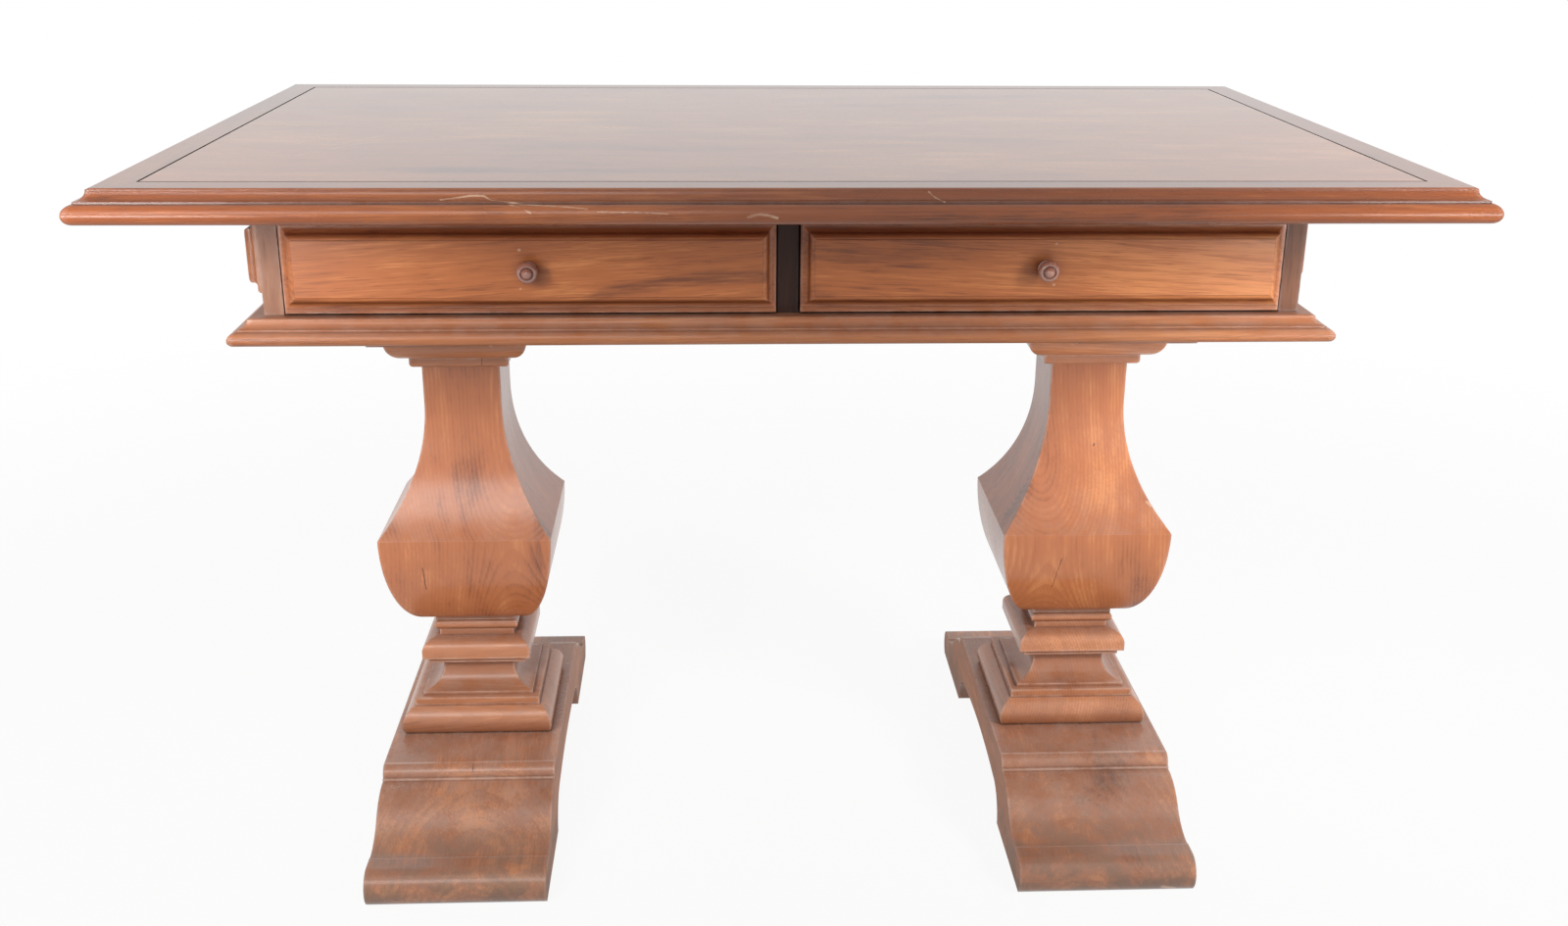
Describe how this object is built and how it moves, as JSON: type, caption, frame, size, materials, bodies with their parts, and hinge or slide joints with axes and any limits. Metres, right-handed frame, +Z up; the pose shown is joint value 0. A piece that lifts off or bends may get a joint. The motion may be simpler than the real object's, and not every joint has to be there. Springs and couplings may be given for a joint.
{
  "type": "pedestal desk",
  "caption": "Free-standing writing desk: bordered moulded top over side-by-side drawers, carried on square baluster pedestals with long arched feet.",
  "frame": {"origin": "on the floor, under the middle of the desk", "axes": "+X along the desk to the right as seen from the drawers, +Y from the drawers to the back, +Z up"},
  "size_m": [1.246, 0.783, 0.7803],
  "materials": {
    "top_wood": "satin, waxed",
    "case_wood": "satin, waxed",
    "pedestal_wood": "satin, waxed",
    "foot_wood": "dull satin, worn",
    "dark_wood": "dark polish",
    "string": "dark inlay",
    "inner_wood": "bare, planed",
    "steel": "plain zinc"
  },
  "bodies": {
    "desk": {"base_moulding_front": "case_wood", "base_moulding_left": "case_wood", "base_moulding_rear": "case_wood", "base_moulding_right": "case_wood", "bearer_screws": "steel", "case_back": "case_wood", "case_floor": "inner_wood", "case_left_end": "case_wood", "case_right_end": "case_wood", "centre_muntin": "dark_wood", "centre_partition": "inner_wood", "drawer_kickers": "inner_wood", "drawer_stops": "inner_wood", "front_left_stile": "case_wood", "front_right_stile": "case_wood", "front_top_rail": "case_wood", "left_bearer": "case_wood", "left_cap": "pedestal_wood", "left_cap_fillet": "pedestal_wood", "left_end_panel": "case_wood", "left_foot": "foot_wood", "left_neck_collar": "pedestal_wood", "left_plinth_torus": "pedestal_wood", "left_scotia_block": "pedestal_wood", "left_shaft": "pedestal_wood", "pedestal_tie_rods": "steel", "rear_left_panel": "case_wood", "rear_right_panel": "case_wood", "right_bearer": "case_wood", "right_cap": "pedestal_wood", "right_cap_fillet": "pedestal_wood", "right_end_panel": "case_wood", "right_foot": "foot_wood", "right_neck_collar": "pedestal_wood", "right_plinth_torus": "pedestal_wood", "right_scotia_block": "pedestal_wood", "right_shaft": "pedestal_wood", "tie_rod_nuts": "steel", "top_border_front": "top_wood", "top_border_left": "top_wood", "top_border_rear": "top_wood", "top_border_right": "top_wood", "top_front_board": "top_wood", "top_rear_board": "top_wood", "top_screws": "steel", "top_string_inlay": "string"},
    "left_drawer": {"left_drawer_back": "inner_wood", "left_drawer_bottom": "inner_wood", "left_drawer_front": "case_wood", "left_drawer_knob": "dark_wood", "left_drawer_left_side": "inner_wood", "left_drawer_right_side": "inner_wood"},
    "right_drawer": {"right_drawer_back": "inner_wood", "right_drawer_bottom": "inner_wood", "right_drawer_front": "case_wood", "right_drawer_knob": "dark_wood", "right_drawer_left_side": "inner_wood", "right_drawer_right_side": "inner_wood"}
  },
  "joints": [
    {"name": "left_drawer_slide", "type": "slide", "parent": "desk", "child": "left_drawer", "axis": [0, -1, 0], "range_m": [0, 0.35]},
    {"name": "right_drawer_slide", "type": "slide", "parent": "desk", "child": "right_drawer", "axis": [0, -1, 0], "range_m": [0, 0.35]}
  ]
}
